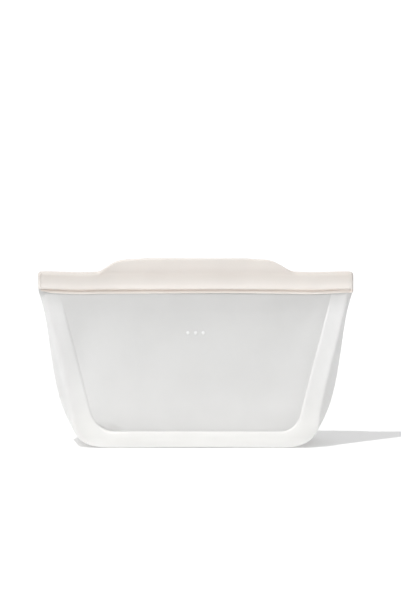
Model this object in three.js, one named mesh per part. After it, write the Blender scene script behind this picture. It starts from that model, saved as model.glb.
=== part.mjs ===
// Reusable stand-up silicone bag: a moulded body with thin window panels in thicker frames, folded
// side gussets and a flat base, closed by a press-to-close seal with a pull tab on each side.
// Millimetres, +Z up. The origin is the middle of the base, on the surface the bag stands on.
// X runs along the mouth and the front wall faces -Y. The back wall is the front wall turned half round.

import * as THREE from 'three';

// Driving dimensions: the whole bag
const MOUTH_WIDTH = 270; // the closure, end to end
const BASE_DEPTH = 64; // front face to back face, carried down to the floor
const WALL_TOP = 129; // height at which the silicone walls meet the closure
const WALL_TOP_DEPTH = 7.6; // front face to back face at that height
const CLOSURE_TOP = 147.4;
const TAB_TOP = 158.7;
const GAP = 0.3; // between pieces that touch
const SWING_GAP = 0.5; // round a piece that swings

// Body walls
const FRAME_THICKNESS = 2.8;
const WINDOW_THICKNESS = 1.4;
const WINDOW_INSET = 1.0; // how far the window's face lies behind the frame's
const GUSSET_THICKNESS = 1.6;
const BASE_THICKNESS = 2.0;
const WINDOW_BOTTOM = 14.4; // height of the frame's bottom bar
const WINDOW_BOTTOM_HALF = 85.3; // half width of the window there, its corners carried out square
const WINDOW_TOP_HALF = 118.6;
const WINDOW_CORNER = 15;

// Outlines of the right-hand side, as [half width, height]. The crease is where the front face folds
// into the gusset, and the ridge is the gusset's outermost fold. Each is a corner, then a side.
const CREASE_CORNER = [[68, 0], [87, 0.5], [102.5, 4], [104.2, 26]];
const CREASE_SIDE = [[104.2, 26], [106, 49], [124.2, 105.3], [129.6, WALL_TOP]];
const RIDGE_CORNER = [[93, 0], [101, 0.3], [106.7, 11], [113.4, 27]];
const RIDGE_SIDE = [[113.4, 27], [124.9, 54.5], [125.1, 100], [133.8, WALL_TOP]];

// Base: straight front and back edges that turn a corner to meet the ridges
const BASE_INSET = 1; // how far the front edge lies behind the front face
const BASE_FLAT_HALF = 80;
const BASE_CORNER_HALF = 92;
const BASE_HALF = 97;

// Closure
const STRIP_HALF = 118; // half length of the lips that open; beyond it the two lips are joined
const LIP_INNER = 2.2; // from the middle plane to a lip's inner face
const LIP_PROFILE = [ // outer face of a lip, as [distance from the middle plane, height]
  [4.2, WALL_TOP + GAP], [4.2, 132.3], [5.3, 132.6], [6.0, 133.8], [6.0, 135.4],
  [5.3, 138.2], [4.6, 141], [4.0, 144.5], [3.8, CLOSURE_TOP - 0.5], [3.2, CLOSURE_TOP],
];
const TRACK_HEIGHTS = { lower: 135, upper: 142.6 }; // middle of each sealing track
const TONGUE_HEIGHT = 1.4;
const GROOVE_OPENING = 3.4;
const JAW_THICKNESS = 1.2;
const WEB_THICKNESS = 0.7;
const JAW_REACH = 1.5; // how far the jaws pass the middle plane
const TONGUE_REACH = 0.8; // how far the tongue passes the middle plane
const TRACK_HALF = 117;

// Pull tabs
const TAB_THICKNESS = 2.2;
const TAB_OUTER = 3.4; // from the middle plane to a tab's outer face
const TAB_FOOT_HALF = 84;
const TAB_FLAT_HALF = 44;

// Worked out from the above
const FACE_SLOPE = (BASE_DEPTH - WALL_TOP_DEPTH) / 2 / WALL_TOP;
const LEAN = Math.atan(FACE_SLOPE); // the walls' lean from upright
const SLOPE_LENGTH = 1 / Math.cos(LEAN); // length along a wall for each unit of height
const SAMPLES = 10;

const silicone = new THREE.MeshStandardMaterial({ color: 0xecebe8, roughness: 0.5, metalness: 0 });
const windowSilicone = new THREE.MeshStandardMaterial({
  color: 0xdedddb, roughness: 0.55, metalness: 0, transparent: true, opacity: 0.7,
});
const closureSilicone = new THREE.MeshStandardMaterial({ color: 0xe4dcd5, roughness: 0.45, metalness: 0 });

const points = (pairs) => pairs.map(([x, z]) => new THREE.Vector2(x, z));
const outline = (corner, side) => [corner, side].map((p) => new THREE.CubicBezierCurve(...points(p)));
const crease = outline(CREASE_CORNER, CREASE_SIDE);
const ridge = outline(RIDGE_CORNER, RIDGE_SIDE);

// Half width of an outline at a height, which rises all along both of its curves.
function halfWidth([corner, side], height) {
  const curve = height < side.v0.y ? corner : side;
  let low = 0;
  let high = 1;
  while (high - low > 1e-6) {
    const middle = (low + high) / 2;
    if (curve.getPoint(middle).y < height) low = middle;
    else high = middle;
  }
  return curve.getPoint(low).x;
}

const halfDepth = (height) => BASE_DEPTH / 2 - FACE_SLOPE * height;

function piece(name, geometry, material) {
  const mesh = new THREE.Mesh(geometry, material);
  mesh.name = name;
  return mesh;
}

// A closed solid through sections. Each section is an outer and an inner row of points, which close
// into a ring.
function loft(sections) {
  const rings = sections.map(([outer, inner]) => [...outer, ...[...inner].reverse()]);
  const count = rings[0].length;
  const index = [];
  const quad = (a, b, c, d) => index.push(a, b, c, a, c, d);
  rings.slice(1).forEach((_, i) => {
    for (let j = 0; j < count; j++) {
      const next = (j + 1) % count;
      quad(i * count + j, i * count + next, (i + 1) * count + next, (i + 1) * count + j);
    }
  });
  const last = (rings.length - 1) * count;
  for (let j = 0; j < count / 2 - 1; j++) {
    quad(count - 1 - j, count - 2 - j, j + 1, j);
    quad(last + j, last + j + 1, last + count - 2 - j, last + count - 1 - j);
  }
  const corners = rings.flat();
  let volume = 0;
  for (let i = 0; i < index.length; i += 3) {
    const [a, b, c] = [0, 1, 2].map((k) => corners[index[i + k]]);
    volume += a.dot(b.clone().cross(c));
  }
  if (volume < 0) index.reverse();
  const geometry = new THREE.BufferGeometry().setFromPoints(corners);
  geometry.setIndex(index);
  geometry.computeVertexNormals();
  return geometry;
}

// A flat sheet that leans inwards with the front wall. The outline's y is the length up the wall, and
// the outer face lies inset behind the front face.
function leaningSheet(shape, thickness, inset) {
  const geometry = new THREE.ExtrudeGeometry(shape, { depth: thickness, bevelEnabled: false });
  geometry.translate(0, 0, -thickness - inset);
  geometry.rotateX(Math.PI / 2 - LEAN);
  geometry.translate(0, -BASE_DEPTH / 2, 0);
  return geometry;
}

// A bar of constant section along X. The section's x is the bar's Y, and its y is the bar's Z.
function bar(shape, half) {
  const geometry = new THREE.ExtrudeGeometry(shape, { depth: 2 * half, bevelEnabled: false });
  geometry.translate(0, 0, -half);
  geometry.applyMatrix4(new THREE.Matrix4().makeBasis(
    new THREE.Vector3(0, 1, 0), new THREE.Vector3(0, 0, 1), new THREE.Vector3(1, 0, 0)));
  return geometry;
}

// Right-hand edge of the window from top to bottom, then its left-hand edge from bottom to top, as
// [x, length up the wall]. A positive shrink draws the bottom and the sides in.
function windowEdge(shrink) {
  const flare = (WINDOW_TOP_HALF - WINDOW_BOTTOM_HALF) / (WALL_TOP - WINDOW_BOTTOM);
  const bottom = WINDOW_BOTTOM + shrink;
  const half = (height) => WINDOW_BOTTOM_HALF + flare * (height - WINDOW_BOTTOM) - shrink;
  const radius = WINDOW_CORNER - shrink;
  const corner = new THREE.QuadraticBezierCurve(...points([
    [half(bottom + radius), bottom + radius], [half(bottom), bottom], [half(bottom) - radius, bottom],
  ]));
  const right = [new THREE.Vector2(half(WALL_TOP), WALL_TOP), ...corner.getPoints(SAMPLES)];
  const left = right.map((p) => new THREE.Vector2(-p.x, p.y)).reverse();
  return [...right, ...left].map((p) => new THREE.Vector2(p.x, p.y * SLOPE_LENGTH));
}

function frame(name) {
  const foot = BASE_THICKNESS + GAP + FRAME_THICKNESS * Math.sin(LEAN);
  const heights = [];
  for (let i = 0; i <= SAMPLES; i++) {
    heights.push(THREE.MathUtils.lerp(foot, CREASE_SIDE[0][1], (i / SAMPLES) ** 2));
  }
  for (let i = 1; i <= SAMPLES; i++) {
    heights.push(THREE.MathUtils.lerp(CREASE_SIDE[0][1], WALL_TOP, i / SAMPLES));
  }
  const right = heights.map((h) => new THREE.Vector2(halfWidth(crease, h), h * SLOPE_LENGTH));
  const left = right.map((p) => new THREE.Vector2(-p.x, p.y)).reverse();
  const shape = new THREE.Shape([...right, ...windowEdge(0), ...left]);
  return piece(name, leaningSheet(shape, FRAME_THICKNESS, 0), silicone);
}

function windowPanel(name) {
  const shape = new THREE.Shape(windowEdge(SWING_GAP));
  return piece(name, leaningSheet(shape, WINDOW_THICKNESS, WINDOW_INSET), windowSilicone);
}

// Side gusset: two facets from just behind the frames to the ridge, on the side that sign gives.
function gusset(name, sign) {
  const foot = BASE_THICKNESS + GAP;
  const top = WALL_TOP - GAP;
  const heights = [];
  for (let i = 0; i < SAMPLES; i++) {
    heights.push(THREE.MathUtils.lerp(foot, RIDGE_SIDE[0][1], (i / SAMPLES) ** 1.6));
  }
  for (let i = 0; i <= SAMPLES; i++) {
    heights.push(THREE.MathUtils.lerp(RIDGE_SIDE[0][1], top, i / SAMPLES));
  }
  const frameDepth = FRAME_THICKNESS * SLOPE_LENGTH + GAP;
  const sections = heights.map((height) => {
    const fold = halfWidth(ridge, height);
    const edge = halfWidth(crease, height);
    const depth = halfDepth(height) - frameDepth;
    const x = fold - (fold - edge) * (depth / halfDepth(height));
    const slope = (halfWidth(ridge, height + 0.5) - halfWidth(ridge, height - 0.5)) / 1;
    const thickness = GUSSET_THICKNESS * Math.hypot(1, slope);
    const row = (inwards) => [
      new THREE.Vector3(sign * (x - inwards), -depth, height),
      new THREE.Vector3(sign * (fold - inwards), 0, height),
      new THREE.Vector3(sign * (x - inwards), depth, height),
    ];
    return [row(0), row(thickness)];
  });
  return piece(name, loft(sections), silicone);
}

function basePanel() {
  const front = BASE_DEPTH / 2 - BASE_INSET;
  const shape = new THREE.Shape();
  shape.moveTo(-BASE_FLAT_HALF, -front);
  shape.lineTo(BASE_FLAT_HALF, -front);
  shape.quadraticCurveTo(BASE_CORNER_HALF, -front, BASE_HALF, 0);
  shape.quadraticCurveTo(BASE_CORNER_HALF, front, BASE_FLAT_HALF, front);
  shape.lineTo(-BASE_FLAT_HALF, front);
  shape.quadraticCurveTo(-BASE_CORNER_HALF, front, -BASE_HALF, 0);
  shape.quadraticCurveTo(-BASE_CORNER_HALF, -front, -BASE_FLAT_HALF, -front);
  const geometry = new THREE.ExtrudeGeometry(shape, {
    depth: BASE_THICKNESS, bevelEnabled: false, curveSegments: SAMPLES,
  });
  return piece('base_panel', geometry, silicone);
}

// One lip of the closure, along the part of the mouth that opens.
function lip(name) {
  const face = LIP_PROFILE.map(([out, height]) => [-out, height]);
  const inner = [[-LIP_INNER, CLOSURE_TOP], [-LIP_INNER, WALL_TOP + GAP]];
  return piece(name, bar(new THREE.Shape(points([...face, ...inner])), STRIP_HALF), closureSilicone);
}

// End of the closure, where the two lips are joined, on the side that sign gives. It narrows to a
// rounded tip.
function closureEnd(name, sign) {
  const start = STRIP_HALF + GAP;
  const tip = MOUTH_WIDTH / 2;
  const middle = (WALL_TOP + CLOSURE_TOP) / 2;
  const sections = [0, 0.55, 0.75, 0.88, 0.96, 1].map((along) => {
    const round = Math.sqrt(1 - (Math.max(0, along - 0.55) / 0.45) ** 2) * 0.75 + 0.25;
    const squeeze = 0.88 + 0.12 * round;
    const row = (side) => LIP_PROFILE.map(([out, height]) => new THREE.Vector3(
      sign * THREE.MathUtils.lerp(start, tip, along),
      side * out * round,
      middle + (height - middle) * squeeze));
    return [row(-1), row(1)];
  });
  return piece(name, loft(sections), closureSilicone);
}

// Sealing groove: a channel on the front lip, open towards the back.
function groove(name, height) {
  const back = -LIP_INNER + GAP;
  const inside = GROOVE_OPENING / 2;
  const outside = inside + JAW_THICKNESS;
  const shape = new THREE.Shape(points([
    [back, height - outside], [JAW_REACH, height - outside], [JAW_REACH, height - inside],
    [back + WEB_THICKNESS, height - inside], [back + WEB_THICKNESS, height + inside],
    [JAW_REACH, height + inside], [JAW_REACH, height + outside], [back, height + outside],
  ]));
  return piece(name, bar(shape, TRACK_HALF), closureSilicone);
}

// Sealing tongue of the back lip, drawn as a rib that stands inwards from a front lip.
function tongue(name, height) {
  const root = -LIP_INNER + GAP;
  const half = TONGUE_HEIGHT / 2;
  const shape = new THREE.Shape(points([
    [root, height - half], [TONGUE_REACH - half, height - half], [TONGUE_REACH, height],
    [TONGUE_REACH - half, height + half], [root, height + half],
  ]));
  return piece(name, bar(shape, TRACK_HALF), closureSilicone);
}

function pullTab(name) {
  const foot = CLOSURE_TOP + GAP;
  const shape = new THREE.Shape();
  shape.moveTo(-TAB_FOOT_HALF, foot);
  shape.lineTo(TAB_FOOT_HALF, foot);
  shape.bezierCurveTo(TAB_FOOT_HALF - 12, foot + 6.2, TAB_FLAT_HALF + 20, TAB_TOP, TAB_FLAT_HALF, TAB_TOP);
  shape.lineTo(-TAB_FLAT_HALF, TAB_TOP);
  shape.bezierCurveTo(-TAB_FLAT_HALF - 20, TAB_TOP, 12 - TAB_FOOT_HALF, foot + 6.2, -TAB_FOOT_HALF, foot);
  const geometry = new THREE.ExtrudeGeometry(shape, {
    depth: TAB_THICKNESS, bevelEnabled: false, curveSegments: SAMPLES,
  });
  const tab = piece(name, geometry, closureSilicone);
  tab.rotation.x = Math.PI / 2;
  tab.position.y = TAB_THICKNESS - TAB_OUTER;
  return tab;
}

// Everything on one side of the bag, drawn as the front. track makes what that side seals with.
function wall(side, track, kind) {
  const group = new THREE.Group();
  group.add(frame(`${side}_frame`), windowPanel(`${side}_window`), lip(`${side}_lip`));
  group.add(pullTab(`${side}_pull_tab`));
  for (const [place, height] of Object.entries(TRACK_HEIGHTS)) {
    group.add(track(`${place}_seal_${kind}`, height));
  }
  return group;
}

const bag = new THREE.Group();
const frontWall = wall('front', groove, 'groove');
const backWall = wall('back', tongue, 'tongue');
backWall.rotation.z = Math.PI;
bag.add(basePanel(), frontWall, backWall);
for (const [side, sign] of [['left', -1], ['right', 1]]) {
  bag.add(gusset(`${side}_gusset`, sign), closureEnd(`${side}_closure_end`, sign));
}

export default bag;
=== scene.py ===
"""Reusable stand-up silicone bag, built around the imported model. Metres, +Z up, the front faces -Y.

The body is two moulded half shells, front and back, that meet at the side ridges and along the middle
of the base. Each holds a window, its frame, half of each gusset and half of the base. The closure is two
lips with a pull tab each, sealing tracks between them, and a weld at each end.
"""
import math

import bpy
import numpy as np
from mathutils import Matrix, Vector


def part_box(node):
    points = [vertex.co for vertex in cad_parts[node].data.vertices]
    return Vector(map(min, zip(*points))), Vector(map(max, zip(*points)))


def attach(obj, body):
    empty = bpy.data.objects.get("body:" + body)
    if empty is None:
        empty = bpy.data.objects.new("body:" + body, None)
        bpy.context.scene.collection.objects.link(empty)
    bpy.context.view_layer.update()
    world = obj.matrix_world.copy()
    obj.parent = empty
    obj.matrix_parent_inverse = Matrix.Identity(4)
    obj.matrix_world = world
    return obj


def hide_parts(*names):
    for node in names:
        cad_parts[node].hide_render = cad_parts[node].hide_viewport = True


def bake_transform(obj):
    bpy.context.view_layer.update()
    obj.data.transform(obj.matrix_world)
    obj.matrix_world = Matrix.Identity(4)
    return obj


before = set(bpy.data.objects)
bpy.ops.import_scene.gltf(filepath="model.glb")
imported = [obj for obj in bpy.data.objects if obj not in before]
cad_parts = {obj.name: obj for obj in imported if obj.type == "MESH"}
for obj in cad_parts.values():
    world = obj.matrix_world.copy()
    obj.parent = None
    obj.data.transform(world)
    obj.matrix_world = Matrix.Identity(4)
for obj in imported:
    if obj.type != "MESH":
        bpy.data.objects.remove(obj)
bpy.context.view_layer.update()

MM = 0.001


# ---------------- measures from the frame, in millimetres

def box_mm(node):
    """Lowest and highest corner of a CAD node."""
    return [np.array(corner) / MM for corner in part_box(node)]


frame_low, frame_high = box_mm("front_frame")
lip_low, lip_high = box_mm("front_lip")
MOUTH_HALF = box_mm("right_closure_end")[1][0]
WALL_TOP = frame_high[2]
CLOSURE_FOOT = lip_low[2]
CLOSURE_TOP = lip_high[2]
TAB_TOP = box_mm("front_pull_tab")[1][2]
TAB_FOOT_HALF = box_mm("front_pull_tab")[1][0]
FRAME_THICKNESS = 2.8


def wall_slope():
    """Inward lean of the front face for each unit of height, from the leaning frame's box."""
    lean = 0.2  # a first guess, which each round brings closer
    for _ in range(8):
        run = frame_high[1] - FRAME_THICKNESS * math.cos(lean) - frame_low[1]
        rise = frame_high[2] - frame_low[2] - FRAME_THICKNESS * math.sin(lean)
        lean = math.atan2(run, rise)
    return math.tan(lean)


SLOPE = wall_slope()
LEAN = math.atan(SLOPE)
FOOT_DEPTH = -frame_low[1] + SLOPE * (frame_low[2] + FRAME_THICKNESS * math.sin(LEAN))

# ---------------- shape of the body, in millimetres

# Right-hand outlines as [half width, height]: a corner, then a side. The crease is where the front face
# folds into the gusset, and the ridge is the gusset's outermost fold.
CREASE_CORNER = [[70, 0], [89, 0.4], [104, 3.5], [105.4, 26]]
CREASE_SIDE = [[105.4, 26], [108.2, 49], [126.6, 105.3], [130.2, 129]]
RIDGE_CORNER = [[93, 0], [101, 0.3], [106.7, 11], [113.4, 27]]
RIDGE_SIDE = [[113.4, 27], [124.9, 54.5], [125.1, 100], [133.8, 129]]
SHELL_TOP = WALL_TOP + 5.5  # the walls run up inside the closure
WINDOW_BOTTOM = 14.4
WINDOW_BOTTOM_HALF = 84.3
WINDOW_TOP_HALF = 115.6
WINDOW_CORNERS = [16, 12]  # heights of its rounded corners, left and right of the front
WINDOW_RECESS = 0.7
WINDOW_THICKNESS = 1.3
GUSSET_THICKNESS = 1.5
BASE_THICKNESS = 1.8
BAR_THICKNESS = 2.5
STEP_WIDTH = 2.2  # of the rounded step from the frame down to the window
RIDGE_ROUND = 4.5
CREASE_ROUND = [5.5, 1.7]  # left and right of the front
FOOT_ROUND = 2.4
ROUND_LIMIT = 0.42  # share of a gusset's width that a rounding may take
CORNER_TOP = 26  # height where the rounded corners have ended
FOOT_ARCH = 0.4  # how far the middle of the front edge stands off the floor
FOOT_ARCH_HALF = 78
BASE_DOME = 2.2
FOOT_CROWN = 0.7  # how far the lower bar of the frame is rounded outwards
SIDE_CROWN = [0.1, -0.42]  # the same for its side bars, left and right of the front
SIDE_EXTENSION = 1.2  # how far a side outline goes on above its top

# The soft wall bellies inwards, less at the window's rim, and buckles on the left.
SAG = 3.2
SAG_AT_RIM = [0.5, 0.3]  # share left at the rim, left and right of the front
SAG_RISE, SAG_FALL = 45, 48  # heights over which it comes and goes
SAG_FADE = 28  # width over which it deepens, from the rim
BUCKLE_DEPTH, BUCKLE_AT, BUCKLE_SIZE = 3.2, [-99, 76], [14, 27]
BUCKLE_FADE = 14  # width over which it comes in, from the crease

# Relief of the thin window: slow waves, a dip behind the lower bar, a rise where it comes forward to
# meet the closure, and a small pocket in one corner.
WAVE_DEPTH = 0.16
WAVE_FADE_HALF = 100  # the waves end here
FOOT_DIP, FOOT_DIP_SIZE = 0.6, 3.5
TOP_RISE, TOP_RISE_FROM, TOP_RISE_TO = 0.95, 18, 4  # the last two are heights below the wall's top
POCKET_DEPTH, POCKET_AT, POCKET_SIZE = 2.7, [-70, 15.1], [10.0, 4.0]
POCKET_COS, POCKET_SIN = 0.94, -0.34  # direction of the pocket's length

DOT_HEIGHT, DOT_PITCH, DOT_RADIUS, DOT_RISE = 96.0, 6.6, 1.55, 0.45
DOT_RINGS, DOT_STEPS = 7, 20

# Fineness of the shells: points of an outline, then rows of a rounding, of a flat part and of the step.
SIDE_COUNT, CORNER_COUNT, FOOT_COUNT = 64, 18, 72
ARC_ROWS, SPAN_ROWS, STEP_ROWS = 9, 7, 8
THICKENING_ROWS = 6  # from the gusset's thickness to the frame's


def bezier(control, t):
    """Points of a cubic curve from its first to its last control point, as t goes from 0 to 1."""
    a, b, c, d = np.array(control, float)
    t = np.asarray(t, float)[..., None]
    rest = 1 - t
    return rest ** 3 * a + 3 * rest ** 2 * t * b + 3 * rest * t ** 2 * c + t ** 3 * d


def smooth(t):
    """0 to 1 with a soft start and end, as t goes from 0 to 1."""
    t = np.clip(t, 0, 1)
    return t * t * (3 - 2 * t)


def bell(value, middle, size):
    """1 at the middle, falling off softly over size to both sides."""
    return np.exp(-((value - middle) / size) ** 2)


def hump(value, half):
    """1 at 0, falling to 0 at half to both sides."""
    return 1 - np.clip(np.abs(value) / half, 0, 1) ** 2


def side_width(control, heights):
    """Half widths of a side outline at the given heights, which may lie a little above its top."""
    curve = bezier(control, np.linspace(0, 1, 400))
    end_slope = (curve[-1, 0] - curve[-2, 0]) / (curve[-1, 1] - curve[-2, 1])
    inside = np.interp(heights, curve[:, 1], curve[:, 0])
    return inside + end_slope * np.clip(heights - curve[-1, 1], 0, SIDE_EXTENSION)


def face_depth(height):
    """Distance of the front face from the middle plane."""
    return FOOT_DEPTH - SLOPE * height


def outline(corner, side):
    """U-shaped outline from top left round the foot to top right, as [x, z]."""
    heights = np.linspace(SHELL_TOP, side[0][1], SIDE_COUNT, endpoint=False)
    down = np.stack([side_width(side, heights), heights], 1)
    turn = bezier(corner, np.linspace(1, 0, CORNER_COUNT, endpoint=False))
    half = np.concatenate([down, turn])
    return join_outline(half, half, corner[0][0], corner[0][0], corner[0][1])


def join_outline(left, right, left_foot, right_foot, foot_height):
    """Outline from two right-hand halves, each from the top to its end of the foot."""
    along = np.linspace(-left_foot, right_foot, FOOT_COUNT + 1)
    foot = np.stack([along, np.full_like(along, foot_height)], 1)
    return np.concatenate([left * [-1, 1], foot, right[::-1]])


def window_half(height):
    """Half width of the window, its corners carried out square."""
    flare = (WINDOW_TOP_HALF - WINDOW_BOTTOM_HALF) / (WALL_TOP - WINDOW_BOTTOM)
    return WINDOW_BOTTOM_HALF + flare * (height - WINDOW_BOTTOM)


def window_outline():
    """Outline of the window from top left round its foot to top right, as [x, z]."""
    halves, foot_halves = [], []
    for corner in WINDOW_CORNERS:
        bend = WINDOW_BOTTOM + corner
        heights = np.linspace(SHELL_TOP, bend, SIDE_COUNT, endpoint=False)
        down = np.stack([window_half(heights), heights], 1)
        foot_half = WINDOW_BOTTOM_HALF - corner
        handle = 0.45 * corner
        turn = bezier([
            [foot_half, WINDOW_BOTTOM], [WINDOW_BOTTOM_HALF - handle, WINDOW_BOTTOM],
            [window_half(WINDOW_BOTTOM + handle), WINDOW_BOTTOM + handle], [window_half(bend), bend],
        ], np.linspace(1, 0, CORNER_COUNT, endpoint=False))
        halves.append(np.concatenate([down, turn]))
        foot_halves.append(foot_half)
    return join_outline(*halves, *foot_halves, WINDOW_BOTTOM)


def on_face(flat, recess=0.0):
    """Points of the front face from [x, z], moved inwards by recess along the face's normal."""
    x, z = flat[..., 0], flat[..., 1]
    inward = np.array([0, math.cos(LEAN), -math.sin(LEAN)])
    surface = np.stack([x, -face_depth(z), z], -1)
    return surface + np.asarray(recess)[..., None] * inward


def unit(v):
    """The same directions with length 1."""
    return v / np.maximum(np.linalg.norm(v, axis=-1, keepdims=True), 1e-9)


def arc(a, corner, b, steps):
    """Rows of a rounded turn from a to b around a sharp corner."""
    t = np.linspace(0, 1, steps)[:, None, None]
    return (1 - t) ** 2 * a + 2 * (1 - t) * t * corner + t * t * b


def rows_between(a, b, steps):
    """Rows strictly between a and b."""
    t = np.linspace(0, 1, steps + 2)[1:-1, None, None]
    return (1 - t) * a + t * b


def half_shell_rows(side):
    """Rows of points from the middle plane, over the gusset or base, round the crease or the foot,
    across the frame and down the step to the window. Also the wall's thickness at each point and each
    row's share of window."""
    ridge = outline(RIDGE_CORNER, RIDGE_SIDE)
    crease = outline(CREASE_CORNER, CREASE_SIDE)
    window = window_outline()
    on_left = crease[:, 0] < 0
    at_foot = smooth(1 - crease[:, 1] / CORNER_TOP)
    middle = np.stack([ridge[:, 0], np.zeros(len(ridge)), ridge[:, 1]], 1)
    middle[:, 2] += BASE_DOME * at_foot * hump(middle[:, 0], RIDGE_CORNER[0][0])
    fold = on_face(crease)
    fold[:, 2] += FOOT_ARCH * at_foot * hump(crease[:, 0], FOOT_ARCH_HALF) ** 2
    rim = on_face(window, window_recess(window, side))
    brink = on_face(window, wall_sag(window))

    sideways = unit(fold - middle) * [1, 0, 1]
    peak = middle - 0.5 * RIDGE_ROUND * sideways * (1 - at_foot)[:, None]
    width = np.linalg.norm(fold - peak, axis=1, keepdims=True)
    along = unit(fold - peak)
    leave = peak + np.minimum(RIDGE_ROUND, ROUND_LIMIT * width) * along
    mirrored = leave * [1, -1, 1]
    rows = list(arc(mirrored, peak, leave, ARC_ROWS)[ARC_ROWS // 2:])

    fold_round = np.where(on_left, *CREASE_ROUND)
    fold_round = fold_round + (FOOT_ROUND - fold_round) * at_foot
    turn = np.minimum(fold_round, ROUND_LIMIT * width[:, 0])[:, None]
    across = unit(brink - fold)
    into, out = fold - turn * along, fold + turn * across
    rows += list(rows_between(leave, into, SPAN_ROWS))
    rows += list(arc(into, fold, out, ARC_ROWS))
    turn_rows = len(rows)

    step_start = brink - STEP_WIDTH * across
    bar = rows_between(out, step_start, SPAN_ROWS)
    bulge = np.sin(np.linspace(0, math.pi, SPAN_ROWS + 2)[1:-1])[:, None, None]
    crown = np.where(on_left, *SIDE_CROWN) * (1 - at_foot) + FOOT_CROWN * at_foot
    outward = np.array([0, -math.cos(LEAN), math.sin(LEAN)])
    rows += list(bar + crown[:, None] * bulge * outward)
    frame_rows = len(rows)
    for share in np.linspace(0, 1, STEP_ROWS)[:-1]:
        rows.append(step_start + (brink - step_start) * share + (rim - brink) * smooth(share))
    rows.append(rim)

    number = np.arange(len(rows))[:, None]
    to_frame = smooth((number - turn_rows) / THICKENING_ROWS + 0.5)
    to_window = smooth((number - frame_rows) / (len(rows) - 1 - frame_rows))
    lower = GUSSET_THICKNESS + (BASE_THICKNESS - GUSSET_THICKNESS) * at_foot
    solid = lower + (BAR_THICKNESS - lower) * to_frame
    thickness = solid + (WINDOW_THICKNESS - solid) * to_window
    return np.array(rows), thickness, to_window[:, 0]


def window_patch(rim):
    """Grid of [x, z] points that fills the window's outline, from its foot to the top."""
    flat = rim[:, [0, 2]]
    turn = CORNER_COUNT // 2
    corner_at = SIDE_COUNT + turn
    left, right = flat[:corner_at + 1][::-1], flat[len(flat) - corner_at - 1:]
    foot = flat[corner_at:len(flat) - corner_at]
    step = np.linalg.norm(np.diff(foot, axis=0), axis=1)
    u = np.concatenate([[0], np.cumsum(step)]) / step.sum()
    climb = np.linalg.norm(np.diff(left, axis=0), axis=1)
    v = np.concatenate([[0], np.cumsum(climb)]) / climb.sum()
    top = left[-1] + u[:, None] * (right[-1] - left[-1])
    u, v = u[:, None, None], v[None, :, None]
    edges = (1 - v) * foot[:, None] + v * top[:, None] + (1 - u) * left[None] + u * right[None]
    corners = ((1 - u) * (1 - v) * foot[0] + u * (1 - v) * foot[-1]
               + (1 - u) * v * left[-1] + u * v * right[-1])
    return edges - corners, corner_at


def add_mesh(name, points, faces, material, sharp=40):
    """A smooth-shaded object from points in millimetres."""
    mesh = bpy.data.meshes.new(name)
    mesh.from_pydata((np.asarray(points) * MM).tolist(), [], [list(map(int, f)) for f in faces])
    mesh.validate()
    mesh.update()
    mesh.polygons.foreach_set("use_smooth", [True] * len(mesh.polygons))
    mesh.set_sharp_from_angle(angle=math.radians(sharp))
    mesh.materials.append(material)
    obj = bpy.data.objects.new(name, mesh)
    bpy.context.scene.collection.objects.link(obj)
    return obj


def vertex_normals(points, faces):
    """Area-weighted normals of a mesh of quads."""
    quads = np.array(faces)
    a, b, c, d = (points[quads[:, i]] for i in range(4))
    face = np.cross(c - a, d - b)
    normals = np.zeros_like(points)
    for i in range(4):
        np.add.at(normals, quads[:, i], face)
    return unit(normals)


def thicken(points, faces, thickness, flat_edge):
    """Points and faces of the closed solid between a surface and its offset inwards. The points at
    flat_edge keep their offset in the middle plane."""
    normals = vertex_normals(points, faces)
    normals[flat_edge, 1] = 0
    normals = unit(normals)
    inner = points - normals * thickness[:, None]
    count = len(points)
    edges = dict.fromkeys(edge for face in faces for edge in zip(face, face[1:] + face[:1]))
    rim = [(b, a, a + count, b + count) for a, b in edges if (b, a) not in edges]
    back = [tuple(v + count for v in reversed(face)) for face in faces]
    return np.concatenate([points, inner]), list(faces) + back + rim


def enclosed_volume(points, faces):
    """Volume inside a closed mesh, negative where its faces point inwards."""
    total = 0.0
    for face in faces:
        a = points[face[0]]
        for i, j in zip(face[1:-1], face[2:]):
            total += float(np.dot(a, np.cross(points[i], points[j])))
    return total / 6


def grid_faces(ids):
    """Quads of a grid of point numbers."""
    return [(int(a), int(b), int(c), int(d)) for a, b, c, d in zip(
        ids[:-1, :-1].ravel(), ids[:-1, 1:].ravel(), ids[1:, 1:].ravel(), ids[1:, :-1].ravel())]


def half_shell(name, side, material):
    """One half of the silicone body; side is 1 for the front and -1 for the back."""
    rows, thickness, share = half_shell_rows(side)
    total, count, _ = rows.shape
    patch, corner_at = window_patch(rows[-1])
    ids = np.arange(total * count).reshape(total, count)
    patch_ids = np.full(patch.shape[:2], -1)
    rim_ids = ids[-1]
    patch_ids[0] = rim_ids[:corner_at + 1][::-1]
    patch_ids[-1] = rim_ids[count - corner_at - 1:]
    patch_ids[:, 0] = rim_ids[corner_at:count - corner_at]
    free = patch_ids < 0
    patch_ids[free] = total * count + np.arange(free.sum())
    inside = patch[free]

    points = np.concatenate([rows.reshape(-1, 3), on_face(inside, window_recess(inside, side))])
    walls = np.concatenate([thickness.ravel(), np.full(len(inside), WINDOW_THICKNESS)])
    shares = np.concatenate([np.repeat(share, count), np.ones(len(inside))])
    middle = np.abs(points[:, 1]) < 1e-6
    solid, faces = thicken(points, grid_faces(ids) + grid_faces(patch_ids.T), walls, middle)
    if side < 0:
        solid = solid * [-1, -1, 1]
    obj = add_mesh(name, solid, faces, material)
    attribute = obj.data.attributes.new("window", "FLOAT", "POINT")
    attribute.data.foreach_set("value", np.tile(shares, 2).astype(np.float32))
    return obj


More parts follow.
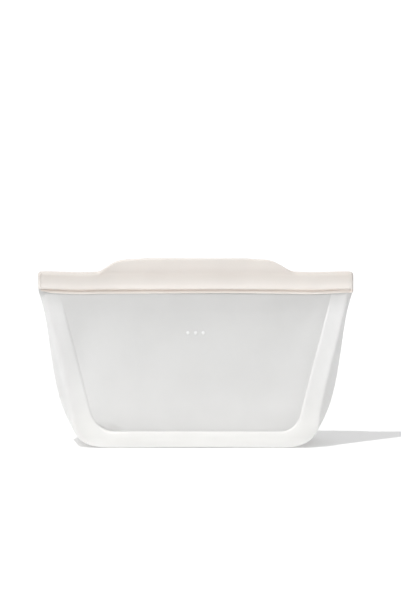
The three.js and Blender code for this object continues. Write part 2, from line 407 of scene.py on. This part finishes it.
def wall_sag(flat):
    """How far the soft wall bellies inwards, most at half height and inside the frame."""
    x, z = flat[:, 0], flat[:, 1]
    climb = smooth((z - WINDOW_BOTTOM) / SAG_RISE) * smooth((WALL_TOP + 3 - z) / SAG_FALL)
    at_rim = np.where(x < 0, *SAG_AT_RIM)
    belly = SAG * climb * (at_rim + (1 - at_rim) * smooth((window_half(z) - np.abs(x)) / SAG_FADE))
    inside = smooth((side_width(CREASE_SIDE, z) - np.abs(x)) / BUCKLE_FADE)
    buckle = bell(x, BUCKLE_AT[0], BUCKLE_SIZE[0]) * bell(z, BUCKLE_AT[1], BUCKLE_SIZE[1])
    return belly + BUCKLE_DEPTH * inside * buckle


def window_relief(flat, side):
    """Slow unevenness of the thin window, its dip behind the lower bar, its rise under the closure and,
    at the front, a small pocket in one corner."""
    x, z = flat[:, 0], flat[:, 1]
    fade = smooth((z - WINDOW_BOTTOM) / 20) * smooth((WALL_TOP - z) / 12)
    fade = fade * smooth((WAVE_FADE_HALF - np.abs(x)) / 25)
    wave = np.sin(x / 31 + 0.6) * np.cos(z / 23 - 0.4) + 0.6 * np.sin(x / 17 - z / 29)
    relief = WAVE_DEPTH * fade * wave
    relief += FOOT_DIP * np.exp(-np.maximum(0, z - WINDOW_BOTTOM) / FOOT_DIP_SIZE)
    relief -= TOP_RISE * smooth((z - WALL_TOP + TOP_RISE_FROM) / (TOP_RISE_FROM - TOP_RISE_TO))
    if side > 0:
        x, z = x - POCKET_AT[0], z - POCKET_AT[1]
        along = bell(POCKET_COS * x + POCKET_SIN * z, 0, POCKET_SIZE[0])
        relief += POCKET_DEPTH * along * bell(POCKET_COS * z - POCKET_SIN * x, 0, POCKET_SIZE[1])
    return relief


def window_recess(flat, side):
    """How far the window lies behind the flat front face."""
    return WINDOW_RECESS + wall_sag(flat) + window_relief(flat, side)


def raised_dots(name, material):
    """A row of three small raised dots on the front window."""
    points, faces = [], []
    for middle in (-DOT_PITCH, 0, DOT_PITCH):
        start = len(points)
        for ring in range(DOT_RINGS):
            share = ring / (DOT_RINGS - 1)
            radius = DOT_RADIUS * share
            rise = DOT_RISE * math.sqrt(1 - 0.98 * share ** 4) - 0.15 * share ** 6
            for step in range(DOT_STEPS if ring else 1):
                angle = 2 * math.pi * step / DOT_STEPS
                x, z = middle + radius * math.cos(angle), DOT_HEIGHT + radius * math.sin(angle)
                flat = np.array([[x, z]])
                points.append(on_face(flat, window_recess(flat, 1) - rise)[0])
        sunk = len(points)  # the point inside the wall where the dot's underside ends
        points.append(on_face(np.array([[middle, DOT_HEIGHT]]), WINDOW_RECESS + SAG + 0.6)[0])
        for step in range(DOT_STEPS):
            after = (step + 1) % DOT_STEPS
            faces.append((start, start + 1 + step, start + 1 + after))
            for ring in range(1, DOT_RINGS - 1):
                a, b = start + 1 + DOT_STEPS * (ring - 1), start + 1 + DOT_STEPS * ring
                faces.append((a + step, b + step, b + after, a + after))
            last = start + 1 + DOT_STEPS * (DOT_RINGS - 2)
            faces.append((last + after, last + step, sunk))
    points = np.array(points)
    if enclosed_volume(points, faces) < 0:
        faces = [face[::-1] for face in faces]
    return add_mesh(name, points, faces, material)


# ---------------- closure

LIP_HALF = 132.0  # where the lips meet the end welds
LIP_END_ROUND, LIP_END_SHRINK = 0.35, 0.3  # rounding of a lip's ends, along it and across
WELD_GROOVE = 0.05  # between a lip and the face of a weld
WELD_CORNER = {-1: 2.2, 1: 3.5}  # its upper corner, left and right
WELD_FOOT_CORNER = 0.9
# Sections of a weld as [distance, depth as a share of the lip's]: outwards from its face, then inwards
# from its tip.
WELD_START = [[-0.95, 0.84], [-0.05, 0.91], [0, 0.935], [0.12, 0.965], [0.35, 0.992], [0.7, 1.0]]
WELD_TIP = [
    [1.6, 0.985], [1.35, 0.95], [1.15, 0.87], [0.9, 0.74], [0.6, 0.56], [0.28, 0.38], [0, 0.2],
]
WELD_ROWS = 29
WELDED_FROM = 121  # beyond this the two lips touch
TRACK_HALF = 117
# Outer face of a lip below its rounded top, as [distance from the middle plane, height over the foot]: a
# flange on the wall, a narrow undercut, then the band, which flares outwards at its lower edge.
LIP_FACE = [
    [3.1, 0.0], [4.1, 0.0], [4.46, 0.14], [4.7, 0.42], [4.76, 1.1], [4.71, 1.9], [4.6, 2.28],
    [4.36, 2.5], [4.15, 2.65], [4.05, 2.85], [4.15, 3.05], [4.5, 3.15],
    [5.05, 3.22], [5.48, 3.42], [5.72, 3.78], [5.76, 4.2], [5.67, 4.7], [5.44, 5.3], [5.16, 5.95],
    [4.9, 6.6], [4.7, 7.3], [4.54, 8.2], [4.43, 9.4], [4.37, 10.7], [4.34, 12.0], [4.32, 13.2],
    [4.3, 14.3],
]
UNDERCUT_TOP = 3.15
UNDERCUT = slice(6, 12)  # its points in LIP_FACE
UNDERCUT_FILLED = 4.85  # depth of the face where the undercut has run out, at the right
UNDERCUT_FADE = 9
FLANGE_AT_LEFT = 0.55  # share of the flange's height that remains at its left end
FLANGE_FADE = 9
LIP_TAPER = 0.12  # how much the band thins from its face to its top
# Inner faces, from the middle plane: beside the tracks, above them, and where the lips are welded. A
# slant joins the first two.
INNER_AT_TRACKS, INNER_ABOVE, INNER_WELDED = 1.9, 0.24, 0.12
INNER_SLANT = 1.2
INNER_SLANT_DROP = 0.62  # from the lip's top to the slant
INNER_FOOT = 0.5  # the inner face ends this far above the lip's foot
LIP_CAP, TAB_CAP = 2.9, 1.15  # heights of the rounded tops
TAB_BLEND = 3  # tab height over which its top replaces the lip's
TAB_SHOULDER = 58
TAB_SHOULDER_DROP = 1.0  # how far it is below the middle of the tab
TAB_FLAT_HALF = 40
# Control point under the left and the right shoulder, as [outwards from it, below the tab's top].
TAB_PULL = [[15.7, 1.1], [13.5, 1.7]]
TAB_SETBACK = 0.2
TAB_LEAN = 0.05  # inwards, for each unit of height
BEND_DEPTH = 0.12  # of the shallow bend line at the foot of the tab
BEND_BLEND = 9  # tab height over which it comes in
# Points of the outer face below and above the bend line, as [share of the way up, share of its depth].
BEND_BELOW = [[0.35, 0.0], [0.6, 0.25], [0.8, 0.8], [1.0, 1.0]]
BEND_ABOVE = [[0.08, 0.75], [0.18, 0.3], [0.3, 0.05], [0.5, 0.0], [0.7, 0.0], [0.9, 0.0]]
TOP_POINTS = 15
# The soft lip sags towards each end of the mouth, and its lower edge droops between its ends.
LIP_SAG, LIP_SAG_AT, LIP_SAG_SIZE = 0.75, 101, 17
LIP_WAVE_FADE = 14
DROOP, DROOP_MORE, DROOP_AT, DROOP_SIZE = 0.35, 0.5, 75, 35
DROOP_FADE = 22


def tab_height(x):
    """Height of the pull tab over the lip at x. Its shoulder is fuller on the left."""
    full = TAB_TOP - CLOSURE_TOP
    shoulder = [TAB_SHOULDER, full - TAB_SHOULDER_DROP]
    pull_out, pull_down = TAB_PULL[0] if x < 0 else TAB_PULL[1]
    rise = bezier([
        [TAB_FOOT_HALF + 0.9, 0], [TAB_FOOT_HALF - 7.4, 0.6],
        [TAB_SHOULDER + pull_out, full - pull_down], shoulder,
    ], np.linspace(0, 1, 120))
    crown = bezier([
        shoulder, [TAB_SHOULDER - 7, full - 0.62], [TAB_FLAT_HALF + 5, full], [TAB_FLAT_HALF, full],
    ], np.linspace(0, 1, 40))
    rise = np.concatenate([rise, crown[1:]])
    return np.interp(-np.abs(x), -rise[:, 0], rise[:, 1], left=0.0, right=full)


def bevel(t):
    """Outline of a bevelled top edge, from its outer foot at 0 over the top to the inner face at 1."""
    places = np.array([
        [0, 1, 0], [0.07, 0.97, 0.08], [0.14, 0.9, 0.18], [0.3, 0.42, 0.72], [0.38, 0.24, 0.9],
        [0.46, 0.1, 0.97], [0.55, -0.1, 1.0], [0.7, -0.6, 0.97], [0.8, -0.85, 0.85], [0.9, -0.97, 0.6],
        [1, -1, 0],
    ])
    return np.interp(t, places[:, 0], places[:, 1]), np.interp(t, places[:, 0], places[:, 2])


def lip_top(outer, inner, low, height, grown):
    """Points over the top of a lip, from its outer to its inner face: bevelled on the bare lip, where
    grown is 0, and round on the tab, where it is 1."""
    centre, half = (outer + inner) / 2, (outer - inner) / 2
    points = []
    for angle in np.linspace(0, math.pi, TOP_POINTS):
        round_out, round_up = math.cos(angle), math.sin(angle)
        bevel_out, bevel_up = bevel(angle / math.pi)
        points.append([
            centre + half * (bevel_out + (round_out - bevel_out) * grown),
            low + height * (bevel_up + (round_up - bevel_up) * grown),
        ])
    return points


def lip_inside(above, beside, top):
    """Points down the inside of a lip from its rounded top to its foot. above and beside are its distances
    from the middle plane above and beside the tracks."""
    slant_top = min(CLOSURE_TOP - INNER_SLANT_DROP, top - 0.02)
    slant_foot = slant_top - INNER_SLANT
    foot = CLOSURE_FOOT + INNER_FOOT
    points = [[above, top + (slant_top - top) * t] for t in np.linspace(0, 1, 9)[1:]]
    for t in (0.35, 0.7, 1.0):
        points.append([above + (beside - above) * smooth(t), slant_top - INNER_SLANT * t])
    points += [[beside, slant_foot + (foot - slant_foot) * t] for t in np.linspace(0, 1, 9)[1:]]
    return points + [[beside + 0.25, CLOSURE_FOOT + 0.1], [(beside + LIP_FACE[0][0]) / 2, CLOSURE_FOOT]]


def lip_ring(x, side):
    """Closed section of a lip and its tab at x, as [distance from the middle plane, height]. On the back
    lip, side -1, x runs the other way, so its tab is mirrored to lie behind the front one."""
    height = tab_height(x * side)
    grown = smooth(height / TAB_BLEND)
    ring = [[out, CLOSURE_FOOT + up] for out, up in LIP_FACE]

    out, up = ring[-1]
    foot_out = out - LIP_TAPER - TAB_SETBACK * grown
    cap = LIP_CAP + (TAB_CAP - LIP_CAP) * grown
    cap_low = CLOSURE_TOP + height - cap
    tab_foot = CLOSURE_TOP - LIP_CAP + (LIP_CAP - 0.6) * grown
    tab_foot = min(max(tab_foot, up + 0.3), cap_low - 0.05)
    bend = BEND_DEPTH * smooth(height / BEND_BLEND)
    for t, dip in BEND_BELOW:
        ring.append([out + (foot_out - out) * smooth(t) - bend * dip, up + (tab_foot - up) * t])
    lean = TAB_LEAN * height
    for t, dip in BEND_ABOVE:
        ring.append([foot_out - lean * t - bend * dip, tab_foot + (cap_low - tab_foot) * t])

    closed = smooth((abs(x) - TRACK_HALF) / (WELDED_FROM - TRACK_HALF))
    beside = INNER_AT_TRACKS + (INNER_WELDED - INNER_AT_TRACKS) * closed
    above = INNER_ABOVE + (INNER_WELDED - INNER_ABOVE) * closed
    ring += lip_top(foot_out - lean, above, cap_low, cap, grown)
    ring += lip_inside(above, beside, cap_low)
    ring = np.array(ring)

    if x < 0:  # the flange is thinner at the left end
        undercut = CLOSURE_FOOT + UNDERCUT_TOP
        below = ring[:, 1] < undercut
        flange = FLANGE_AT_LEFT + (1 - FLANGE_AT_LEFT) * smooth((LIP_HALF - abs(x)) / FLANGE_FADE)
        ring[below, 1] = undercut - (undercut - ring[below, 1]) * flange
    merge = smooth((x - WELDED_FROM) / UNDERCUT_FADE)  # the undercut runs out towards the right weld
    filled = np.maximum(ring[UNDERCUT, 0], UNDERCUT_FILLED)
    ring[UNDERCUT, 0] += (filled - ring[UNDERCUT, 0]) * merge
    return ring


def sweep(name, rings, material, sharp=50, cap=None):
    """A closed solid through rings of points. Each end is filled by the faces in cap, as places in a
    ring, or else by one face."""
    total, count = len(rings), len(rings[0])
    cap = cap or [tuple(range(count))]
    ids = np.arange(total * count).reshape(total, count)
    wrapped = np.concatenate([ids, ids[:, :1]], axis=1)
    faces = grid_faces(wrapped)
    for face in cap:
        faces += [tuple(ids[0, i] for i in face), tuple(ids[-1, i] for i in reversed(face))]
    points = np.concatenate(rings)
    if enclosed_volume(points, faces) < 0:
        faces = [face[::-1] for face in faces]
    return add_mesh(name, points, faces, material, sharp)


def lip_wave(x):
    """Slow unevenness of the soft lip along the mouth, as [outwards, upwards]."""
    sag = LIP_SAG * bell(abs(x), LIP_SAG_AT, LIP_SAG_SIZE)
    wave = 0.12 * math.sin(x / 40 - 0.8) + 0.07 * math.sin(x / 19)
    return 0.12 * math.sin(x / 38 + 0.5), wave - sag


def lip_droop(x):
    """How far the lip's lower edge hangs down, most between the middle and each end."""
    more = DROOP_MORE * bell(abs(x), DROOP_AT, DROOP_SIZE)
    return (DROOP + more) * smooth((LIP_HALF - abs(x)) / DROOP_FADE)


def lip_positions():
    """Places along the mouth, closer together at the ends."""
    ends = LIP_HALF - LIP_END_ROUND + np.sin(np.linspace(0, math.pi / 2, 7)) * LIP_END_ROUND
    inner = np.linspace(-ends[0], ends[0], 241)
    return np.concatenate([-ends[::-1][:-1], inner, ends[1:]])


def closure_lip(name, side, material):
    """A lip with its pull tab, rounded off at both ends; side is 1 for the front and -1 for the back."""
    rings = []
    for x in lip_positions():
        ring = lip_ring(x, side)
        into_end = max(0.0, abs(x) - LIP_HALF + LIP_END_ROUND) / LIP_END_ROUND
        shrink = LIP_END_SHRINK * (1 - math.sqrt(max(0.0, 1 - into_end ** 2)))
        middle = np.array([ring[:, 0].mean(), (ring[:, 1].min() + ring[:, 1].max()) / 2])
        size = np.maximum(np.abs(ring - middle), 1e-6)
        ring = middle + (ring - middle) * np.maximum(0, 1 - shrink / size)
        out, up = lip_wave(x)
        fade = smooth((LIP_HALF - abs(x)) / LIP_WAVE_FADE)
        low = np.clip((CLOSURE_TOP - ring[:, 1]) / (CLOSURE_TOP - CLOSURE_FOOT), 0, 1)
        rings.append(np.stack([
            np.full(len(ring), x),
            -(ring[:, 0] + out * fade),
            ring[:, 1] + up * fade - lip_droop(x) * low,
        ], 1))
    if side < 0:
        rings = [ring * [-1, -1, 1] for ring in rings]
    return sweep(name, rings, material)


def rounding(share, power):
    """Drop of a rounded corner, from 0 at its start to nearly 1 at its end."""
    return 1 - math.sqrt(1 - 0.998 * share ** power)


def end_weld(name, sign, material):
    """Rounded block that joins the two lips at one end of the mouth, behind a narrow groove. The left
    one starts above the lips' undercut, and the right one near their foot."""
    profile = np.array(LIP_FACE)
    band = profile[profile[:, 1] > UNDERCUT_TOP]
    low = CLOSURE_FOOT + (UNDERCUT_TOP if sign < 0 else 0.2)
    face_start = LIP_HALF + WELD_GROOVE
    places = [(face_start + x, depth) for x, depth in WELD_START]
    places += [(MOUTH_HALF - x, depth) for x, depth in WELD_TIP]
    rings = []
    for x, depth in places:
        turn = max(0.0, (x - face_start) / (MOUTH_HALF - face_start))
        top = CLOSURE_TOP - 0.1 - WELD_CORNER[sign] * rounding(turn, 2)
        foot = low + WELD_FOOT_CORNER * rounding(turn, 6)
        level = np.linspace(foot, top, WELD_ROWS)
        out = np.interp(level - CLOSURE_FOOT, band[:, 1], band[:, 0])
        near_top = np.clip((level - top + LIP_CAP) / LIP_CAP, 0, 1)
        half = out * depth * np.sqrt(np.maximum(0.02, 1 - near_top ** 2.4))
        front = np.stack([np.full_like(level, sign * x), -half, level], 1)
        rings.append(np.concatenate([front, front[::-1] * [1, -1, 1]]))
    last = 2 * WELD_ROWS - 1
    cap = [(i, i + 1, last - 1 - i, last - i) for i in range(WELD_ROWS - 1)]
    return sweep(name, rings, material, cap=cap)


# ---------------- sealing tracks

RAIL_SINK = 0.2  # how far a rail goes into its lip


def track(name, node, section, material):
    """A rail of constant section along a lip, slightly rounded at its ends. section is a closed row of
    [y, z] points, in the place of the CAD node."""
    ends = TRACK_HALF - np.array([0, 0.4])
    xs = np.concatenate([-ends, np.linspace(1 - TRACK_HALF, TRACK_HALF - 1, 150), ends[::-1]])
    section = np.array(section)
    middle = section.mean(axis=0)
    rings = []
    for x in xs:
        ring = middle + (section - middle) * (0.6 + 0.4 * smooth(TRACK_HALF - abs(x)))
        rings.append(np.stack([np.full(len(ring), x), ring[:, 0], ring[:, 1]], 1))
    obj = sweep(name, rings, material, 40)
    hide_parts(node)
    return obj


def groove_section(node):
    """C-shaped section with soft jaws, open towards the back lip."""
    low, high = box_mm(node)
    web, jaw, lead = 0.9, 1.15, 0.35
    y0, y1, z0, z1 = low[1] - RAIL_SINK, high[1], low[2], high[2]
    return [
        [y0, z0], [y1 - lead, z0], [y1, z0 + lead], [y1, z0 + jaw - lead], [y1 - lead, z0 + jaw],
        [y0 + web, z0 + jaw], [y0 + web, z1 - jaw], [y1 - lead, z1 - jaw], [y1, z1 - jaw + lead],
        [y1, z1 - lead], [y1 - lead, z1], [y0, z1],
    ]


def tongue_section(node):
    """Rib with a rounded head that stands towards the front lip."""
    low, high = box_mm(node)
    middle, half = (low[2] + high[2]) / 2, (high[2] - low[2]) / 2
    head = low[1] + half
    ring = [[high[1] + RAIL_SINK, middle - half]]
    for angle in np.linspace(-math.pi / 2, -3 * math.pi / 2, 9):
        ring.append([head + half * math.cos(angle), middle + half * math.sin(angle)])
    ring.append([high[1] + RAIL_SINK, middle + half])
    return ring


# ---------------- materials

def noise(nodes, links, coordinates, scale, detail=3.0):
    """Values of a cloud texture, between 0 and 1."""
    texture = nodes.new("ShaderNodeTexNoise")
    texture.inputs["Scale"].default_value = scale
    texture.inputs["Detail"].default_value = detail
    links.new(coordinates, texture.inputs["Vector"])
    return texture.outputs["Fac"]


def spread(nodes, links, value, start, end, low, high, kind="SMOOTHSTEP"):
    """low to high, which are numbers or sockets, as value goes from start to end."""
    node = nodes.new("ShaderNodeMapRange")
    node.interpolation_type = kind
    for name, given in (("From Min", start), ("From Max", end), ("To Min", low), ("To Max", high)):
        if isinstance(given, bpy.types.NodeSocket):
            links.new(given, node.inputs[name])
        else:
            node.inputs[name].default_value = given
    links.new(value, node.inputs["Value"])
    return node.outputs["Result"]


def scaled(nodes, links, colour, factor):
    """A colour times a factor."""
    node = nodes.new("ShaderNodeVectorMath")
    node.operation = "SCALE"
    links.new(colour, node.inputs[0])
    links.new(factor, node.inputs["Scale"])
    return node.outputs["Vector"]


def graded(nodes, links, place, start, end, stops):
    """Colour that changes softly along an axis, through stops of [millimetres, red, green, blue]."""
    share = spread(nodes, links, place, start * MM, end * MM, 0.0, 1.0, "LINEAR")
    band = nodes.new("ShaderNodeValToRGB")
    elements = band.color_ramp.elements
    for _ in stops[2:]:
        elements.new(0.5)
    for element, (level, *colour) in zip(elements, stops):
        element.position = (level - start) / (end - start)
        element.color = (*colour, 1)
    links.new(share, band.inputs["Fac"])
    return band.outputs["Color"]


SHADES_TOP = 160  # height, in millimetres, that the shades are spread over
ACROSS_HALF = 136  # half width that the factors across are spread over
CLOUD_SCALE, GLOSS_SCALE, SKIN_SCALE = 26, 60, 1500
GLOSS_SPREAD = 0.04
SKIN_STRENGTH, SKIN_DEPTH = 0.02, 0.0004
# The seam's fine dark line is painted shade for the dark edge along each ridge.
SEAM_PAINTED_SHADE = 0.86
SEAM_LINE = 0.0003, 0.0017  # distances from the middle plane over which the painted dark line fades out
SEAM_SCATTER = 0.0005, 0.009  # and over which the light under the surface comes back


def silicone(name, colour_and_painted_shade, rough, subsurface, scale, radius=(1.0, 1.0, 1.0), across=None, seam=False):
    """Moulded silicone with a faint cloudiness, uneven satin gloss and a fine skin. Its colour changes
    softly with the height, through the given colours, and across the bag by the factors in across; for the
    bag's pieces both paint light and shade onto the colour. With seam, a fine darker line is painted
    on the middle plane as shade at the edge of each ridge, where no light travels under the surface."""
    material = bpy.data.materials.new(name)
    material.use_nodes = True
    nodes, links = material.node_tree.nodes, material.node_tree.links
    shader = nodes["Principled BSDF"]
    place = nodes.new("ShaderNodeTexCoord").outputs["Object"]
    split = nodes.new("ShaderNodeSeparateXYZ")
    links.new(place, split.inputs["Vector"])
    # Colour by height; for the bag's pieces it holds painted light and shade.
    colour = graded(nodes, links, split.outputs["Z"], 0, SHADES_TOP, colour_and_painted_shade)
    cloud = spread(nodes, links, noise(nodes, links, place, CLOUD_SCALE), 0.3, 0.7, 0.984, 1.016)
    colour = scaled(nodes, links, colour, cloud)
    # Painted side shade: factors across the bag make one side darker or lighter, as the lamp falls.
    if across:
        factors = [[x, factor, factor, factor] for x, factor in across]
        painted_side_shade = graded(nodes, links, split.outputs["X"], -ACROSS_HALF, ACROSS_HALF, factors)
        colour = scaled(nodes, links, colour, painted_side_shade)
    shader.inputs["Subsurface Weight"].default_value = subsurface
    if seam:
        distance = nodes.new("ShaderNodeMath")
        distance.operation = "ABSOLUTE"
        links.new(split.outputs["Y"], distance.inputs[0])
        # Painted shade: a fine darker line along the middle plane, at the edge of each ridge.
        line = spread(nodes, links, distance.outputs[0], *SEAM_LINE, SEAM_PAINTED_SHADE, 1.0)
        colour = scaled(nodes, links, colour, line)
        weight = spread(nodes, links, distance.outputs[0], *SEAM_SCATTER, 0.0, subsurface)
        links.new(weight, shader.inputs["Subsurface Weight"])
    links.new(colour, shader.inputs["Base Color"])
    uneven = noise(nodes, links, place, GLOSS_SCALE)
    gloss = spread(nodes, links, uneven, 0.3, 0.7, rough - GLOSS_SPREAD, rough + GLOSS_SPREAD)
    links.new(gloss, shader.inputs["Roughness"])
    skin = nodes.new("ShaderNodeBump")
    skin.inputs["Strength"].default_value = SKIN_STRENGTH
    skin.inputs["Distance"].default_value = SKIN_DEPTH
    links.new(noise(nodes, links, place, SKIN_SCALE, 2.0), skin.inputs["Height"])
    links.new(skin.outputs["Normal"], shader.inputs["Normal"])
    shader.inputs["IOR"].default_value = 1.41
    shader.inputs["Subsurface Radius"].default_value = radius
    shader.inputs["Subsurface Scale"].default_value = scale
    return material


# Painted light and shade in the body's colour: lighter at the foot for light thrown up by the floor,
# darker towards the top for the closure's shadow, and darker at the far left, which lies in shade.
body_material = silicone("milky_silicone", [
    [0, 0.89, 0.882, 0.858], [4, 0.888, 0.878, 0.852], [9, 0.805, 0.799, 0.777],
    [20, 0.815, 0.809, 0.789], [35, 0.792, 0.788, 0.774], [60, 0.784, 0.781, 0.773],
    [111, 0.768, 0.766, 0.761], [118, 0.735, 0.733, 0.727], [124, 0.68, 0.678, 0.671],
    [129, 0.66, 0.658, 0.651],
], rough=0.42, subsurface=1.0, scale=0.004, across=[[-108, 0.957], [-86, 1]], seam=True)
# Painted light and shade in the window's colour: darker towards the top, under the closure's shadow, and
# lighter on the left, which faces the lamp, than on the right.
window_material = silicone("frosted_silicone", [
    [15, 0.704, 0.7, 0.69], [35, 0.722, 0.719, 0.71], [76, 0.7, 0.699, 0.692],
    [100, 0.683, 0.682, 0.674], [116, 0.66, 0.658, 0.651], [126, 0.636, 0.633, 0.625],
], rough=0.5, subsurface=1.0, scale=0.003, across=[[-98, 1.015], [-40, 1], [50, 1], [85, 0.975]])
dot_material = silicone("clear_white_silicone", [
    [0, 0.82, 0.82, 0.82], [SHADES_TOP, 0.82, 0.82, 0.82],
], rough=0.4, subsurface=0.0, scale=0.001)
# Painted light and shade in the closure's colour: a light line along the flange's lower edge, a dark line
# in the undercut above it, darker up the band towards the tab's foot and lighter again on the tab; across,
# darker on the left and much darker on the right end's face, which is turned from the lamp.
closure_material = silicone("oatmeal_silicone", [
    [128.6, 0.92, 0.86, 0.81], [129.8, 0.84, 0.775, 0.72], [130.8, 0.78, 0.705, 0.65],
    [131.7, 0.7, 0.62, 0.565], [132.5, 0.745, 0.695, 0.65], [133.6, 0.755, 0.716, 0.68],
    [136.5, 0.752, 0.712, 0.675], [139, 0.728, 0.69, 0.653], [143.5, 0.692, 0.65, 0.61],
    [145.5, 0.672, 0.628, 0.588], [148, 0.682, 0.638, 0.6], [151, 0.71, 0.668, 0.63],
    [159, 0.725, 0.688, 0.65],
], rough=0.45, subsurface=0.3, scale=0.002, radius=(1.0, 0.92, 0.86), across=[
    [-78, 0.96], [-46, 1], [40, 1], [60, 1.015], [133.2, 1.015], [134.4, 0.84],
])


# ---------------- pieces


def bow(obj):
    """Bakes the piece's placement into its mesh and reads its points, which are not used further."""
    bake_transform(obj)
    co = np.empty(len(obj.data.vertices) * 3)
    obj.data.vertices.foreach_get("co", co)


for side_name, side in (("front", 1), ("back", -1)):
    shell = half_shell(f"{side_name}_shell", side, body_material)
    nodes = [f"{side_name}_frame", f"{side_name}_window"]
    if side > 0:
        nodes += ["base_panel", "left_gusset", "right_gusset"]
    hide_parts(*nodes)
    shell.data.materials.append(window_material)
    window = np.empty(len(shell.data.vertices), np.float32)
    shell.data.attributes["window"].data.foreach_get("value", window)
    for polygon in shell.data.polygons:
        polygon.material_index = int(window[list(polygon.vertices)].mean() > 0.85)
    bow(shell)
    if side > 0:
        dots = raised_dots("front_dots", dot_material)
        bow(dots)

    lip = closure_lip(f"{side_name}_closure_lip", side, closure_material)
    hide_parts(f"{side_name}_lip", f"{side_name}_pull_tab")
    bow(lip)

    for place in ("lower", "upper"):
        kind, section = ("groove", groove_section) if side > 0 else ("tongue", tongue_section)
        node = f"{place}_seal_{kind}"
        rail = track(f"{place}_{kind}_rail", node, section(node), closure_material)
        bow(rail)

for side_name, sign in (("left", -1), ("right", 1)):
    weld = end_weld(f"{side_name}_end_weld", sign, closure_material)
    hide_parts(f"{side_name}_closure_end")
    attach(weld, "base")


# ---------------- floor, light and camera

FLOOR_RADIUS, FLOOR_SIDES = 1500, 96
KEY_ENERGY = 24


def stage_material():
    """Matt pale grey that glows faintly."""
    material = bpy.data.materials.new("studio_floor")
    material.use_nodes = True
    shader = material.node_tree.nodes["Principled BSDF"]
    shader.inputs["Base Color"].default_value = (0.74, 0.74, 0.74, 1)
    shader.inputs["Roughness"].default_value = 0.9
    shader.inputs["Specular IOR Level"].default_value = 0.1
    shader.inputs["Emission Color"].default_value = (1, 1, 1, 1)
    shader.inputs["Emission Strength"].default_value = 0.2
    return material


def studio_floor():
    """A round pale acrylic sheet, faintly lit from below."""
    turns = np.linspace(0, 2 * math.pi, FLOOR_SIDES, endpoint=False)
    rim = [[FLOOR_RADIUS * math.cos(turn), FLOOR_RADIUS * math.sin(turn), 0] for turn in turns]
    floor = add_mesh("floor", rim, [tuple(range(FLOOR_SIDES))], stage_material())


def studio_world():
    """White around and below the horizon, a little less on the right. Dimmer overhead, and darker there
    towards both sides, most on the right."""
    world = bpy.data.worlds.new("studio")
    world.use_nodes = True
    nodes, links = world.node_tree.nodes, world.node_tree.links
    background = nodes["Background"]
    background.inputs["Color"].default_value = (1, 1, 1, 1)
    split = nodes.new("ShaderNodeSeparateXYZ")
    links.new(nodes.new("ShaderNodeTexCoord").outputs["Generated"], split.inputs["Vector"])

    def fall(axis, *ranges):
        return spread(nodes, links, split.outputs[axis], *ranges)

    def product(a, b):
        node = nodes.new("ShaderNodeMath")
        node.operation = "MULTIPLY"
        links.new(a, node.inputs[0])
        links.new(b, node.inputs[1])
        return node.outputs[0]

    level = fall("X", 0.35, 0.85, 1.08, 0.92)
    overhead = product(fall("X", 0.15, 0.8, 0.80, 0.1), fall("X", -0.95, -0.3, 0.7, 1.0))
    links.new(fall("Z", 0.14, 0.42, level, overhead), background.inputs["Strength"])
    bpy.context.scene.world = world


def key_light():
    """A small lamp high on the left, whose light doesn't fade with distance."""
    key = bpy.data.lights.new("key", "POINT")
    key.shadow_soft_size = 0.012
    key.energy = KEY_ENERGY
    key.use_nodes = True
    nodes, links = key.node_tree.nodes, key.node_tree.links
    falloff = nodes.new("ShaderNodeLightFalloff")
    falloff.inputs["Strength"].default_value = 1.0
    links.new(falloff.outputs["Constant"], nodes["Emission"].inputs["Strength"])
    lamp = bpy.data.objects.new("key", key)
    lamp.location = (-0.42, -0.34, 1.133)
    bpy.context.scene.collection.objects.link(lamp)


def background_light():
    """A soft spot from above on the floor behind the object, which keeps it white."""
    light = bpy.data.lights.new("background", "SPOT")
    light.energy = 30
    light.shadow_soft_size = 0.3
    light.spot_size = math.radians(75)
    light.spot_blend = 1.0
    lamp = bpy.data.objects.new("background", light)
    lamp.location = (0, 1.7, 1.3)
    lamp.rotation_euler = (Vector((0, 1.25, 0)) - lamp.location).to_track_quat("-Z", "Y").to_euler()
    bpy.context.scene.collection.objects.link(lamp)


def camera():
    """In front of the bag, slightly above it and looking at its middle."""
    distance, elevation = 1.30, math.radians(4.5)
    aim = Vector((0.00416, 0, 0.1224))
    lens = bpy.data.cameras.new("camera")
    lens.lens = 90.8
    obj = bpy.data.objects.new("camera", lens)
    obj.location = aim + distance * Vector((0, -math.cos(elevation), math.sin(elevation)))
    obj.rotation_euler = (aim - obj.location).to_track_quat("-Z", "Y").to_euler()
    bpy.context.scene.collection.objects.link(obj)
    bpy.context.scene.camera = obj


studio_floor()
studio_world()
key_light()
background_light()
camera()
bpy.context.scene.view_settings.view_transform = "Standard"
